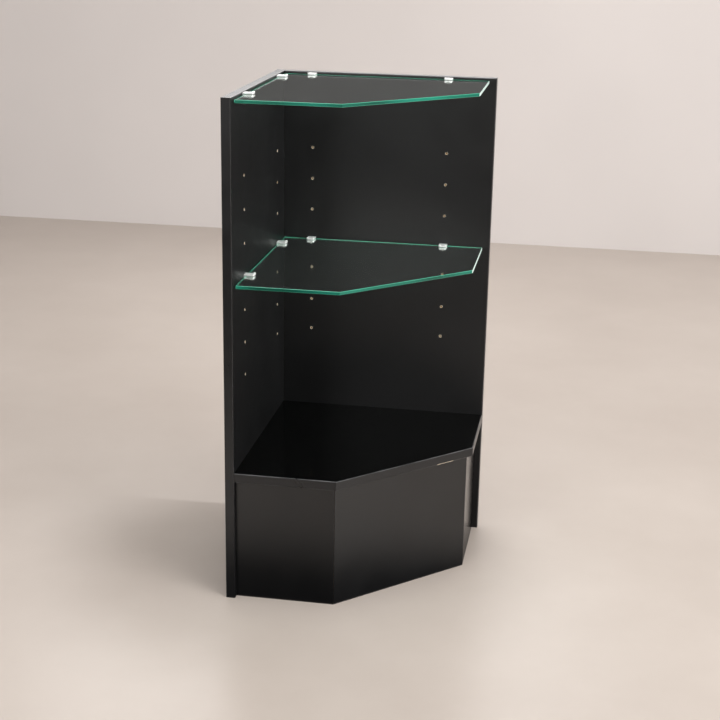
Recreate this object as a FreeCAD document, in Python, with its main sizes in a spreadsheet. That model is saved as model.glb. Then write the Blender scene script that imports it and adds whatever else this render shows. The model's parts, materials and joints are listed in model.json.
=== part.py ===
"""Corner display case: two black laminated panels at a right angle, a five-sided deck on a set-back
base of three boards, and two five-sided glass shelves, each held by four clamp clips.

Millimetres, +Z up, +X to the right along the back panel, +Y to the back. The origin is the centre of
the footprint on the floor. The panels meet in the inner corner at the back left.
"""
import FreeCAD, Part
import os

import Sketcher
from FreeCAD import Rotation, Vector

# Every size that can be set by itself, in millimetres, under the name that the whole model uses.
SIZES = {
    # Panels
    "height": 965,
    "footprint": 448,
    "board": 18,
    "band": 2,
    # Deck and base
    "deck_top": 260,
    "deck_return": 197,
    "kick_inset": 12,
    "mitre_gap": 0.3,
    # Shelf pin holes
    "pin_hole_radius": 2.5,
    "pin_hole_depth": 12,
    "pin_column_near": 60,
    "pin_column_far": 335,
    "pin_row_low": 428,
    "pin_pitch": 64,
    "pin_rows": 7,
    "rows_to_shelf": 3,
    "top_pin_drop": 8,
    # Glass
    "glass": 6,
    "glass_gap": 3,
    "glass_leg": 412,
    "glass_return": 193,
    "glass_arris": 0.6,
    # Clamp clips
    "clip_width": 16,
    "clip_reach": 20,
    "clip_back": 2.5,
    "clip_edge": 1,
    "upper_jaw": 2.5,
    "lower_jaw": 2.5,
    "lower_jaw_width": 13,
    "lower_jaw_reach": 19,
    "lobe_radius": 2.5,
    "upper_lobe": 1.5,
    "lower_lobe": 1,
    "peg_radius": 2.45,
    "peg_length": 10,
    "upper_pad": 0.6,
    "pad_margin": 1.5,
    "pad_gap": 0.05,
    "screw_out": 12,
    "screw_radius": 2,
    "screw_travel": 1.2,
    "screw_head_radius": 2.8,
    "screw_head": 2,
    "screw_stand_off": 0.3,
    "screw_socket": 1.5,
    "screw_socket_depth": 1.4,
    "tip_radius": 3,
    "tip": 1,
    "thread_gap": 0.05,
    # Connecting screws through the panels, and their caps
    "joint_screw_radius": 2.5,
    "joint_screw_length": 48,
    "joint_head_radius": 4.5,
    "joint_head": 3.5,
    "joint_screw_end": 60,
    "joint_screws": 4,
    "cap_radius": 6,
    "cap": 1,
    "deck_screw_edge": 88,
    "fit_gap": 0.1,
    # Cleats, blocks and brackets under the deck
    "cleat": 20,
    "cleat_end": 40,
    "wood_screw_radius": 1.75,
    "wood_head_radius": 3.6,
    "wood_head": 2,
    "cleat_screw_length": 30,
    "block_leg": 42,
    "block_height": 150,
    "block_lift": 30,
    "bracket_leg": 38,
    "bracket_height": 50,
    "bracket_steel": 2,
    "bracket_lift": 92,
    "bracket_hole_out": 26,
    "bracket_hole_end": 12,
    "bracket_screw_length": 13,
    "bracket_head": 1.6,
    "dowel_radius": 4,
    "dowel_length": 30,
    "dowel_end": 45,
    "dowel_gap": 0.5,
    # How far a cutting shape runs past the face that it starts from
    "overrun": 5,
}

# Places worked out from the sizes. Each is text that goes into an expression.
INNER_X = "(board - footprint / 2)"
INNER_Y = "(footprint / 2 - board)"
LEG = "(footprint - board)"
DECK_BOTTOM = "(deck_top - board)"
# A 45 degree corner cut moves a corner of the outline by this share of an inset along the edge.
CORNER_SHARE = "(sqrt(2) - 1)"
HALF_TURN_SHARE = "sqrt(0.5)"
TOP_PIN = "(height - top_pin_drop)"
SHELF_PIN = "(pin_row_low + rows_to_shelf * pin_pitch)"
# Shares of a batten's length at which its screws stand, and of a dowel that is in its board
SIDE_SCREW_SHARES = ("0", "1 / 2", "1")
UP_SCREW_SHARES = ("1 / 4", "3 / 4")
DOWEL_SHARE = "(2 / 3)"
COLUMNS = {"near": "pin_column_near", "far": "pin_column_far"}
TURNS = {
    "up": Rotation(),
    "right": Rotation(Vector(0, 1, 0), 90),
    "left": Rotation(Vector(0, 1, 0), -90),
    "back": Rotation(Vector(1, 0, 0), -90),
    "front": Rotation(Vector(1, 0, 0), 90),
}

doc = FreeCAD.newDocument("corner_display_case")
sheet = doc.addObject("Spreadsheet::Sheet", "Sizes")
nodes = []


def fill_sheet():
    """Writes each size into its own cell, under its name."""
    for row, (name, value) in enumerate(SIZES.items(), start=1):
        sheet.set(f"A{row}", name)
        sheet.set(f"B{row}", str(value))
        sheet.setAlias(f"B{row}", name)
    doc.recompute()


def formula(text):
    """Puts the sheet's name before each size in an expression."""
    words = []
    word = ""
    for letter in text + " ":
        if letter.isalnum() or letter == "_":
            word += letter
            continue
        words.append(f"Sizes.{word}" if word in SIZES else word)
        words.append(letter)
        word = ""
    return "".join(words).strip()


def value(text):
    """The number that an expression gives now."""
    return float(sheet.evalExpression(formula(text)))


def bind(target, **properties):
    """Ties each named property of an object to an expression."""
    for name, text in properties.items():
        target.setExpression(name, formula(text))


def put(target, x, y, z, turn="up"):
    """Ties an object's place to three expressions and turns its own Z axis."""
    target.Placement = FreeCAD.Placement(Vector(), TURNS[turn])
    for axis, text in (("x", x), ("y", y), ("z", z)):
        target.setExpression(f"Placement.Base.{axis}", formula(text))
    return target


def node(target, label):
    """Names a finished piece, which is written to a file of that name."""
    target.Label = label
    nodes.append(target)
    return target


def block(name, x, y, z, length, width, height):
    """A box with its lowest corner at x, y, z."""
    made = doc.addObject("Part::Box", name)
    bind(made, Length=length, Width=width, Height=height)
    return put(made, x, y, z)


def rod(name, radius, length, x, y, z, turn="up"):
    """A cylinder that starts at x, y, z and points the way of its turn."""
    made = doc.addObject("Part::Cylinder", name)
    bind(made, Radius=radius, Height=length)
    return put(made, x, y, z, turn)


def taper(name, start, end, length, x, y, z, turn="up"):
    """A cone from one radius to another, starting at x, y, z."""
    made = doc.addObject("Part::Cone", name)
    bind(made, Radius1=start, Radius2=end, Height=length)
    return put(made, x, y, z, turn)


def fuse(name, parts):
    """One solid out of several that touch."""
    made = doc.addObject("Part::MultiFuse", name)
    made.Shapes = parts
    return made


def group(name, parts):
    """Several solids kept apart in one piece."""
    made = doc.addObject("Part::Compound", name)
    made.Links = parts
    return made


def cut(name, base, tool):
    """A shape less what the tool fills."""
    made = doc.addObject("Part::Cut", name)
    made.Base = base
    made.Tool = tool
    return made


def new_sketch(body, name, role, height=None):
    """A sketch on one of a body's own origin planes, lifted off it if a height is given."""
    made = body.newObject("Sketcher::SketchObject", name)
    plane = next(item for item in body.Origin.OriginFeatures if item.Role == role)
    made.AttachmentSupport = (plane, [""])
    made.MapMode = "FlatFace"
    if height:
        made.setExpression("AttachmentOffset.Base.z", formula(height))
    return made


def hold_point(sketch, item, end, x, y):
    """Fixes a point of a sketch at two expressions from the sketch's origin."""
    for kind, text in (("DistanceX", x), ("DistanceY", y)):
        index = sketch.addConstraint(Sketcher.Constraint(kind, -1, 1, item, end, value(text)))
        sketch.setExpression(f"Constraints[{index}]", formula(text))


def draw_outline(sketch, points):
    """A closed outline with a corner at each point."""
    places = [Vector(value(x), value(y), 0) for x, y in points]
    for start, end in zip(places, places[1:] + places[:1]):
        sketch.addGeometry(Part.LineSegment(start, end))
    count = len(places)
    for index, (x, y) in enumerate(points):
        sketch.addConstraint(Sketcher.Constraint("Coincident", index, 1, (index - 1) % count, 2))
        hold_point(sketch, index, 1, x, y)


def draw_circles(sketch, centres, radius):
    """A circle of one radius about each centre."""
    for index, (x, y) in enumerate(centres):
        place = Vector(value(x), value(y), 0)
        sketch.addGeometry(Part.Circle(place, Vector(0, 0, 1), value(radius)))
        hold_point(sketch, index, 3, x, y)
        held = sketch.addConstraint(Sketcher.Constraint("Radius", index, value(radius)))
        sketch.setExpression(f"Constraints[{held}]", formula(radius))


def prism(name, points, bottom, thickness):
    """A body with an outline in plan, from a height upwards."""
    body = doc.addObject("PartDesign::Body", name)
    outline = new_sketch(body, f"{name}_outline", "XY_Plane", bottom)
    draw_outline(outline, points)
    pad = body.newObject("PartDesign::Pad", f"{name}_pad")
    pad.Profile = outline
    bind(pad, Length=thickness)
    outline.Visibility = False
    return body


def from_corner(across, forward):
    """A plan point measured from the inner corner, to the right and to the front."""
    return f"{INNER_X} + {across}", f"{INNER_Y} - {forward}"


def deck_corners(inset):
    """The four outer corners of the deck's plan, set in by a distance, from the left panel round."""
    slide = f"({inset}) * {CORNER_SHARE}"
    return [
        from_corner("0", f"({LEG} - ({inset}))"),
        from_corner(f"(deck_return - {slide})", f"({LEG} - ({inset}))"),
        from_corner(f"({LEG} - ({inset}))", f"(deck_return - {slide})"),
        from_corner(f"({LEG} - ({inset}))", "0"),
    ]


def panel(name, role, across_low, across_high, depth, face, drill):
    """A panel core with its two columns of shelf pin holes and the two holes for the top clips.

    The sketches lie on an upright plane, at the depth of the panel's inner face.
    """
    body = doc.addObject("PartDesign::Body", f"{name}_core")
    outline = new_sketch(body, f"{name}_outline", role, face)
    top = "(height - band)"
    draw_outline(
        outline,
        [(across_low, "0"), (across_high, "0"), (across_high, top), (across_low, top)],
    )
    pad = body.newObject("PartDesign::Pad", f"{name}_pad")
    pad.Profile = outline
    pad.Reversed = depth
    bind(pad, Length="board")
    doc.recompute()

    holes = new_sketch(body, f"{name}_pin_holes", role, face)
    draw_circles(holes, [(x, "pin_row_low") for x in drill], "pin_hole_radius")
    pocket = body.newObject("PartDesign::Pocket", f"{name}_pin_pocket")
    pocket.Profile = holes
    pocket.Reversed = not depth
    bind(pocket, Length="pin_hole_depth")
    doc.recompute()
    rows = body.newObject("PartDesign::LinearPattern", f"{name}_pin_rows")
    rows.Originals = [pocket]
    rows.Direction = (holes, ["V_Axis"])
    bind(rows, Length="(pin_rows - 1) * pin_pitch", Occurrences="pin_rows")
    body.Tip = rows
    doc.recompute()

    top_holes = new_sketch(body, f"{name}_top_holes", role, face)
    draw_circles(top_holes, [(x, TOP_PIN) for x in drill], "pin_hole_radius")
    top_pocket = body.newObject("PartDesign::Pocket", f"{name}_top_pocket")
    top_pocket.Profile = top_holes
    top_pocket.Reversed = not depth
    bind(top_pocket, Length="pin_hole_depth")
    body.Tip = top_pocket
    doc.recompute()
    return body


def joint_screw(name, x, y, z, turn, spare="0"):
    """A connecting screw whose flat head starts at x, y, z. A spare makes it the hole for one."""
    head = taper(f"{name}_head", f"joint_head_radius + {spare}", f"joint_screw_radius + {spare}",
                 "joint_head", x, y, z, turn)
    shank = rod(f"{name}_shank", f"joint_screw_radius + {spare}", f"joint_screw_length + {spare}",
                x, y, z, turn)
    return fuse(name, [head, shank])


def joint_places():
    """Where the connecting screws go: their names, the point on the panel's outer face and the turn."""
    places = []
    for index in range(int(value("joint_screws"))):
        height = f"(joint_screw_end + {index} * (height - 2 * joint_screw_end) / (joint_screws - 1))"
        places.append(("panel", index, "(0 - footprint / 2)", "(footprint / 2 - board / 2)", height,
                       "right"))
    deck_middle = f"({DECK_BOTTOM} + board / 2)"
    for index, reach in enumerate(("deck_screw_edge", f"({LEG} - deck_screw_edge)")):
        places.append(("deck_left", index, "(0 - footprint / 2)", f"({INNER_Y} - {reach})",
                       deck_middle, "right"))
        places.append(("deck_back", index, f"({INNER_X} + {reach})", "(footprint / 2)",
                       deck_middle, "front"))
    return places


def along(x, y, turn, distance):
    """A plan point moved along a turn's direction."""
    if turn == "right":
        return f"({x} + ({distance}))", y
    return x, f"({y} - ({distance}))"


def make_joint_screws():
    """The connecting screws, their caps and the holes that each panel and the deck has for them."""
    screws = {"panel": [], "deck_left": [], "deck_back": []}
    caps = []
    holes = {"left": [], "back": [], "deck": []}
    for kind, index, x, y, height, turn in joint_places():
        name = f"{kind}_joint_{index}"
        head_x, head_y = along(x, y, turn, "cap")
        screws[kind].append(joint_screw(name, head_x, head_y, height, turn))
        caps.append(rod(f"{name}_cap", "cap_radius", "cap", x, y, height, turn))
        start_x, start_y = along(x, y, turn, "0 - overrun")
        seats = ["left"] if turn == "right" else ["back"]
        seats.append("back" if kind == "panel" else "deck")
        for seat in seats:
            tool = f"{name}_{seat}"
            parts = [joint_screw(f"{tool}_bore", head_x, head_y, height, turn, "fit_gap")]
            if seat == seats[0]:
                parts.append(rod(f"{tool}_seat", "cap_radius + fit_gap", "cap + overrun",
                                 start_x, start_y, height, turn))
            holes[seat] += parts
    node(group("panel_screws", screws["panel"]), "panel_joint_screws")
    node(group("deck_screws", screws["deck_left"] + screws["deck_back"]), "deck_joint_screws")
    node(group("screw_caps", caps), "joint_screw_caps")
    return holes


def kick_corners():
    """Plan corners of the three base boards: outer and inner, each mitred and a hair apart."""
    outer = deck_corners("kick_inset")
    inner = deck_corners("kick_inset + board")
    half = "mitre_gap / 2"
    slip = f"{half} * {HALF_TURN_SHARE}"

    def moved(point, right, back):
        return f"{point[0]} + {right}", f"{point[1]} + {back}"

    left = [outer[0], moved(outer[1], f"(0 - {half})", "0"), moved(inner[1], f"(0 - {half})", "0"),
            inner[0]]
    middle = [moved(outer[1], slip, slip), moved(outer[2], f"(0 - {slip})", f"(0 - {slip})"),
              moved(inner[2], f"(0 - {slip})", f"(0 - {slip})"), moved(inner[1], slip, slip)]
    right = [moved(outer[2], "0", half), outer[3], inner[3], moved(inner[2], "0", half)]
    return {"kick_front_left": left, "kick_diagonal": middle, "kick_right": right}


def dowel_places():
    """Plan points of the dowels between the deck and the base boards, two in each board."""
    middle = deck_corners("kick_inset + board / 2")
    (ax, ay), (bx, by), (cx, cy), (dx, dy) = middle
    slant = f"dowel_end * {HALF_TURN_SHARE}"
    return {
        "kick_front_left": [(f"{ax} + dowel_end", ay), (f"{bx} - dowel_end", by)],
        "kick_diagonal": [(f"{bx} + {slant}", f"{by} + {slant}"),
                          (f"{cx} - {slant}", f"{cy} - {slant}")],
        "kick_right": [(cx, f"{cy} + dowel_end"), (dx, f"{dy} - dowel_end")],
    }


def make_base(bracket_bores):
    """The three base boards with their dowels, and the dowel holes that the deck has."""
    dowels = []
    deck_holes = []
    places = dowel_places()
    for label, points in kick_corners().items():
        board = prism(f"{label}_board", points, "0", DECK_BOTTOM)
        holes = bracket_bores.get(label, [])
        for index, (x, y) in enumerate(places[label]):
            name = f"{label}_dowel_{index}"
            start = f"({DECK_BOTTOM} - dowel_length * {DOWEL_SHARE})"
            dowels.append(rod(name, "dowel_radius", "dowel_length", x, y, start))
            for hole in (holes, deck_holes):
                hole.append(rod(f"{name}_hole_{len(hole)}", "dowel_radius + thread_gap",
                                "dowel_length + 2 * dowel_gap", x, y, f"{start} - dowel_gap"))
        node(cut(f"{label}_drilled", board, fuse(f"{label}_holes", holes)), label)
    node(group("dowels", dowels), "kick_dowels")
    return deck_holes


def make_deck(holes):
    """The deck board with its holes, and its three edge bands."""
    outer = deck_corners("0")
    core = deck_corners("band")
    board = prism("deck_board", [from_corner("0", "0")] + core, DECK_BOTTOM, "board")
    node(cut("deck_drilled", board, fuse("deck_holes", holes)), "deck")
    labels = ("deck_band_left", "deck_band_diagonal", "deck_band_right")
    for index, label in enumerate(labels):
        points = [outer[index], outer[index + 1], core[index + 1], core[index]]
        node(prism(f"{label}_strip", points, DECK_BOTTOM, "board"), label)


def make_panels(holes):
    """The two panels and the bands on their edges."""
    front = "(0 - footprint / 2)"
    rear = "(footprint / 2)"
    left_drill = [f"({INNER_Y} - {column})" for column in COLUMNS.values()]
    back_drill = [f"({INNER_X} + {column})" for column in COLUMNS.values()]
    left = panel("left_panel", "YZ_Plane", f"({front} + band)", f"({rear} - band)", True, INNER_X,
                 left_drill)
    back = panel("back_panel", "XZ_Plane", INNER_X, f"({rear} - band)", True,
                 f"(0 - {INNER_Y})", back_drill)
    node(cut("left_panel_drilled", left, fuse("left_panel_holes", holes["left"])), "left_panel")
    node(cut("back_panel_drilled", back, fuse("back_panel_holes", holes["back"])), "back_panel")

    edge = "(height - band)"
    bands = {
        "left_panel_front_band": (front, front, "0", "board", "band", "height"),
        "left_panel_rear_band": (front, f"{rear} - band", "0", "board", "band", "height"),
        "left_panel_top_band": (front, f"{front} + band", edge, "board", "footprint - 2 * band",
                                "band"),
        "back_panel_top_band": (INNER_X, INNER_Y, edge, f"{LEG} - band", "board", "band"),
        "back_panel_end_band": (f"{rear} - band", INNER_Y, "0", "band", "board", "height"),
    }
    for label, sizes in bands.items():
        node(block(f"{label}_strip", *sizes), label)


def make_glass(label, middle):
    """A five-sided pane with a small flat ground on every edge of both faces."""
    points = [
        from_corner("glass_gap", "glass_gap"),
        from_corner("glass_gap", "(glass_gap + glass_leg)"),
        from_corner("(glass_gap + glass_return)", "(glass_gap + glass_leg)"),
        from_corner("(glass_gap + glass_leg)", "(glass_gap + glass_return)"),
        from_corner("(glass_gap + glass_leg)", "glass_gap"),
    ]
    body = prism(f"{label}_pane", points, f"{middle} - glass / 2", "glass")
    doc.recompute()
    pad = body.Tip
    flat = [f"Edge{index}" for index, edge in enumerate(pad.Shape.Edges, start=1)
            if edge.BoundBox.ZLength < edge.Length / 2]
    arris = body.newObject("PartDesign::Chamfer", f"{label}_arris")
    arris.Base = (pad, flat)
    bind(arris, Size="glass_arris")
    body.Tip = arris
    node(body, label)


def jaw(name, width, reach, corner, bottom, thickness, lobe="0"):
    """A clip's jaw in the clip's own frame. Its round front corners can rise above it as lobes."""
    side = f"(({width}) / 2 - ({corner}))"
    start = f"(({reach}) - ({corner}))"
    wide = block(f"{name}_wide", "0", f"0 - ({width}) / 2", bottom, start, width, thickness)
    front = block(f"{name}_front", "0", f"0 - {side}", bottom, reach, f"2 * {side}", thickness)
    lobes = [rod(f"{name}_lobe_{index}", corner, f"{thickness} + {lobe}", start, y, bottom)
             for index, y in enumerate((side, f"0 - {side}"))]
    return [wide, front] + lobes


def soften(name, base, size):
    """Rounds the rim of a piece's flat top."""
    doc.recompute()
    top = base.Shape.BoundBox.ZMax
    made = doc.addObject("Part::Fillet", name)
    made.Base = base
    radius = value(size)
    made.Edges = [
        (index, radius, radius)
        for index, edge in enumerate(base.Shape.Edges, start=1)
        if edge.BoundBox.ZMin > top - radius / 2
    ]
    return made


def clip_frames():
    """Each clip's name, the pin that carries it and the turn of its frame about the vertical."""
    frames = []
    for level, height in (("top", TOP_PIN), ("shelf", SHELF_PIN)):
        for column, out in COLUMNS.items():
            frames.append((f"{level}_clip_left_{column}", INNER_X, f"({INNER_Y} - {out})", height, 0))
            frames.append((f"{level}_clip_back_{column}", f"({INNER_X} + {out})", INNER_Y, height,
                           -90))
    return frames


def place_piece(name, pieces, frame):
    """Joins pieces made in a clip's own frame and puts them on the panel."""
    made = fuse(name, pieces) if len(pieces) > 1 else pieces[0]
    seat = doc.addObject("Part::Compound", f"{name}_seated")
    seat.Links = [made]
    _, x, y, height, turn = frame
    seat.Placement = FreeCAD.Placement(Vector(), Rotation(Vector(0, 0, 1), turn))
    for axis, text in (("x", x), ("y", y), ("z", height)):
        seat.setExpression(f"Placement.Base.{axis}", formula(text))
    return seat


def make_clip(frame):
    """A clamp clip: the body with its peg, the clamp screw below and the soft tip that it carries."""
    name = frame[0]
    upper = "(glass / 2 + upper_pad)"
    lower = "(0 - glass / 2 - tip - screw_travel - lower_jaw)"
    tall = f"({upper} + upper_jaw - {lower})"

    upper_jaw = soften(f"{name}_upper", fuse(f"{name}_upper_raw", jaw(
        f"{name}_upper_jaw", "clip_width", "clip_reach", "lobe_radius", upper, "upper_jaw",
        "upper_lobe")), "clip_edge")
    lower_jaw = jaw(f"{name}_lower_jaw", "lower_jaw_width", "lower_jaw_reach", "lobe_radius", lower,
                    "lower_jaw", "lower_lobe")
    back = block(f"{name}_plate", "0", "0 - clip_width / 2", lower, "clip_back", "clip_width", tall)
    peg = rod(f"{name}_peg", "peg_radius", "peg_length + clip_back / 2", "clip_back / 2", "0", "0",
              "left")
    thread = rod(f"{name}_thread", "screw_radius + thread_gap", "lower_jaw + 2 * overrun",
                 "screw_out", "0", f"{lower} - overrun")
    metal = fuse(f"{name}_metal", [upper_jaw, back, peg] + lower_jaw)
    node(place_piece(f"{name}_body", [cut(f"{name}_tapped", metal, thread)], frame), name)

    head_low = f"({lower} - screw_stand_off - screw_head)"
    shank = rod(f"{name}_shank", "screw_radius", f"0 - glass / 2 - tip - {head_low}", "screw_out",
                "0", head_low)
    head = rod(f"{name}_head", "screw_head_radius", "screw_head", "screw_out", "0", head_low)
    socket = doc.addObject("Part::Prism", f"{name}_socket")
    socket.Polygon = 6
    bind(socket, Circumradius="screw_socket", Height="screw_socket_depth + overrun")
    put(socket, "screw_out", "0", f"{head_low} - overrun")
    turned = cut(f"{name}_turned", fuse(f"{name}_screw_raw", [shank, head]), socket)
    node(place_piece(f"{name}_screw_set", [turned], frame), name.replace("clip", "screw"))

    tip = rod(f"{name}_tip", "tip_radius", "tip - pad_gap", "screw_out", "0", "0 - glass / 2 - tip")
    node(place_piece(f"{name}_tip_set", [tip], frame), name.replace("clip", "tip"))

    pad = jaw(f"{name}_pad", "clip_width - 2 * pad_margin", "clip_reach - pad_margin",
              "lobe_radius - pad_margin", "glass / 2 + pad_gap", "upper_pad - pad_gap")
    plate = block(f"{name}_pad_end", "0 - overrun", "0 - clip_width", "0",
                  "overrun + clip_back", "2 * clip_width", "glass + upper_pad")
    return place_piece(f"{name}_pad_set", [cut(f"{name}_pad_cut", fuse(f"{name}_pad_raw", pad),
                                               plate)], frame)


def wood_screw(name, length, x, y, z, turn, spare="0"):
    """A countersunk wood screw whose flat head starts at x, y, z."""
    head = taper(f"{name}_head", f"wood_head_radius + {spare}", f"wood_screw_radius + {spare}",
                 "wood_head", x, y, z, turn)
    shank = rod(f"{name}_shank", f"wood_screw_radius + {spare}", f"{length} + {spare}", x, y, z,
                turn)
    return fuse(name, [head, shank])


def make_cleats(holes):
    """Battens under the deck along both panels, screwed to the panels and up into the deck."""
    start = "(kick_inset + board)"
    low = f"({DECK_BOTTOM} - cleat)"
    left_long = f"({LEG} - {start})"
    back_long = f"({LEG} - {start} - cleat)"
    left = block("cleat_left_batten", INNER_X, f"{INNER_Y} - {left_long}", low, "cleat", left_long,
                 "cleat")
    back = block("cleat_back_batten", f"{INNER_X} + cleat", f"{INNER_Y} - cleat", low, back_long,
                 "cleat", "cleat")
    side, up = [], []
    bores = {"left": [], "back": []}
    middle = f"({low} + cleat / 2)"
    for index, share in enumerate(SIDE_SCREW_SHARES):
        reach = f"(cleat_end + {share} * ({back_long} - 2 * cleat_end))"
        places = {
            "left": (f"{INNER_X} + cleat", f"{INNER_Y} - cleat - {reach}", "left"),
            "back": (f"{INNER_X} + cleat + {reach}", f"{INNER_Y} - cleat", "back"),
        }
        for part, (x, y, turn) in places.items():
            name = f"cleat_{part}_screw_{index}"
            side.append(wood_screw(name, "cleat_screw_length", x, y, middle, turn))
            bore = wood_screw(f"{name}_bore", "cleat_screw_length", x, y, middle, turn, "fit_gap")
            bores[part].append(bore)
            holes[part].append(bore)
    for index, share in enumerate(UP_SCREW_SHARES):
        reach = f"(cleat_end + {share} * ({back_long} - 2 * cleat_end))"
        places = {
            "left": (f"{INNER_X} + cleat / 2", f"{INNER_Y} - cleat - {reach}"),
            "back": (f"{INNER_X} + cleat + {reach}", f"{INNER_Y} - cleat / 2"),
        }
        for part, (x, y) in places.items():
            name = f"cleat_{part}_up_{index}"
            up.append(wood_screw(name, "cleat_screw_length", x, y, low, "up"))
            bore = wood_screw(f"{name}_bore", "cleat_screw_length", x, y, low, "up", "fit_gap")
            bores[part].append(bore)
            holes["deck"].append(bore)
    node(cut("cleat_left_drilled", left, fuse("cleat_left_bores", bores["left"])), "cleat_left")
    node(cut("cleat_back_drilled", back, fuse("cleat_back_bores", bores["back"])), "cleat_back")
    node(group("cleat_side_screws", side), "cleat_panel_screws")
    node(group("cleat_up_screws", up), "cleat_deck_screws")


def make_corner_blocks():
    """Glued three-sided blocks inside the two mitred corners of the base."""
    inner = deck_corners("kick_inset + board")
    slant = f"block_leg * {HALF_TURN_SHARE}"
    (bx, by), (cx, cy) = inner[1], inner[2]
    corners = {
        "corner_block_front": [(bx, by), (f"{bx} + {slant}", f"{by} + {slant}"),
                               (f"{bx} - block_leg", by)],
        "corner_block_right": [(cx, cy), (cx, f"{cy} + block_leg"),
                               (f"{cx} - {slant}", f"{cy} - {slant}")],
    }
    for label, points in corners.items():
        node(prism(f"{label}_prism", points, "block_lift", "block_height"), label)


def make_brackets(holes):
    """Two bent steel angles inside the base, each screwed to a base board and to a panel."""
    inset = "(kick_inset + board)"
    left_y = f"({INNER_Y} - {LEG} + {inset})"
    right_x = f"({INNER_X} + {LEG} - {inset})"
    angles = {
        "kick_bracket_left": (
            [(INNER_X, left_y, "bracket_leg", "bracket_steel"),
             (INNER_X, left_y, "bracket_steel", "bracket_leg")],
            [(f"({INNER_X} + bracket_hole_out)", f"({left_y} + bracket_steel)", "front", "kick"),
             (f"({INNER_X} + bracket_steel)", f"({left_y} + bracket_hole_out)", "left", "left")],
        ),
        "kick_bracket_right": (
            [(f"{right_x} - bracket_leg", f"{INNER_Y} - bracket_steel", "bracket_leg",
              "bracket_steel"),
             (f"{right_x} - bracket_steel", f"{INNER_Y} - bracket_leg", "bracket_steel",
              "bracket_leg")],
            [(f"({right_x} - bracket_hole_out)", f"({INNER_Y} - bracket_steel)", "back", "back"),
             (f"({right_x} - bracket_steel)", f"({INNER_Y} - bracket_hole_out)", "right", "kick")],
        ),
    }
    screws = []
    kick_bores = {"kick_front_left": [], "kick_right": []}
    owner = {"kick_bracket_left": "kick_front_left", "kick_bracket_right": "kick_right"}
    for label, (legs, rows) in angles.items():
        plates = [block(f"{label}_leg_{index}", x, y, "bracket_lift", length, width,
                        "bracket_height") for index, (x, y, length, width) in enumerate(legs)]
        bores = []
        for row, (x, y, turn, seat) in enumerate(rows):
            for end, height in enumerate(("bracket_lift + bracket_hole_end",
                                          "bracket_lift + bracket_height - bracket_hole_end")):
                name = f"{label}_screw_{row}_{end}"
                screws.append(pan_screw(name, x, y, height, turn))
                bore = rod(f"{name}_bore", "wood_screw_radius + fit_gap",
                           "bracket_screw_length + fit_gap", x, y, height, turn)
                bores.append(bore)
                seat_bores = kick_bores[owner[label]] if seat == "kick" else holes[seat]
                seat_bores.append(bore)
        node(cut(f"{label}_drilled", fuse(f"{label}_angle", plates), fuse(f"{label}_bores", bores)),
             label)
    node(group("bracket_screw_set", screws), "bracket_screws")
    return kick_bores


def pan_screw(name, x, y, z, turn):
    """A pan head screw that starts at the face its head sits on."""
    out = {"front": ("0", "bracket_head"), "back": ("0", "0 - bracket_head"),
           "left": ("bracket_head", "0"), "right": ("0 - bracket_head", "0")}[turn]
    head = rod(f"{name}_head", "wood_head_radius", "bracket_head", f"{x} + {out[0]}",
               f"{y} + {out[1]}", z, turn)
    shank = rod(f"{name}_shank", "wood_screw_radius", "bracket_screw_length", x, y, z, turn)
    return fuse(name, [head, shank])


def check_and_write():
    """Stops at any object that failed, then writes each piece to its own file."""
    doc.recompute()
    for item in doc.Objects:
        if "Invalid" in item.State or "Error" in item.State:
            raise RuntimeError(f"{item.Name} failed: {item.State}")
    for item in nodes:
        if item.Shape.isNull() or not item.Shape.isValid():
            raise RuntimeError(f"{item.Label} has no valid shape")
    os.makedirs("parts", exist_ok=True)
    for item in nodes:
        item.Shape.exportStep(os.path.join("parts", f"{item.Label}.step"))
        print(f"{item.Label}: {len(item.Shape.Solids)} solids, {item.Shape.Volume:.1f} mm3")


fill_sheet()
bores = make_joint_screws()
make_cleats(bores)
bracket_bores = make_brackets(bores)
bores["deck"] += make_base(bracket_bores)
make_deck(bores["deck"])
make_panels(bores)
make_corner_blocks()
make_glass("glass_top", TOP_PIN)
make_glass("glass_shelf", SHELF_PIN)
pads = [make_clip(frame) for frame in clip_frames()]
node(group("upper_pads", pads), "clip_pads")
check_and_write()
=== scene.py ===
# Corner display case of black melamine board with two glass panes in satin plated clamp clips.
# Metres, +Z up, +X to the right along the back panel, +Y to the back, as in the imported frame.

import math
import random
from functools import partial

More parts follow.
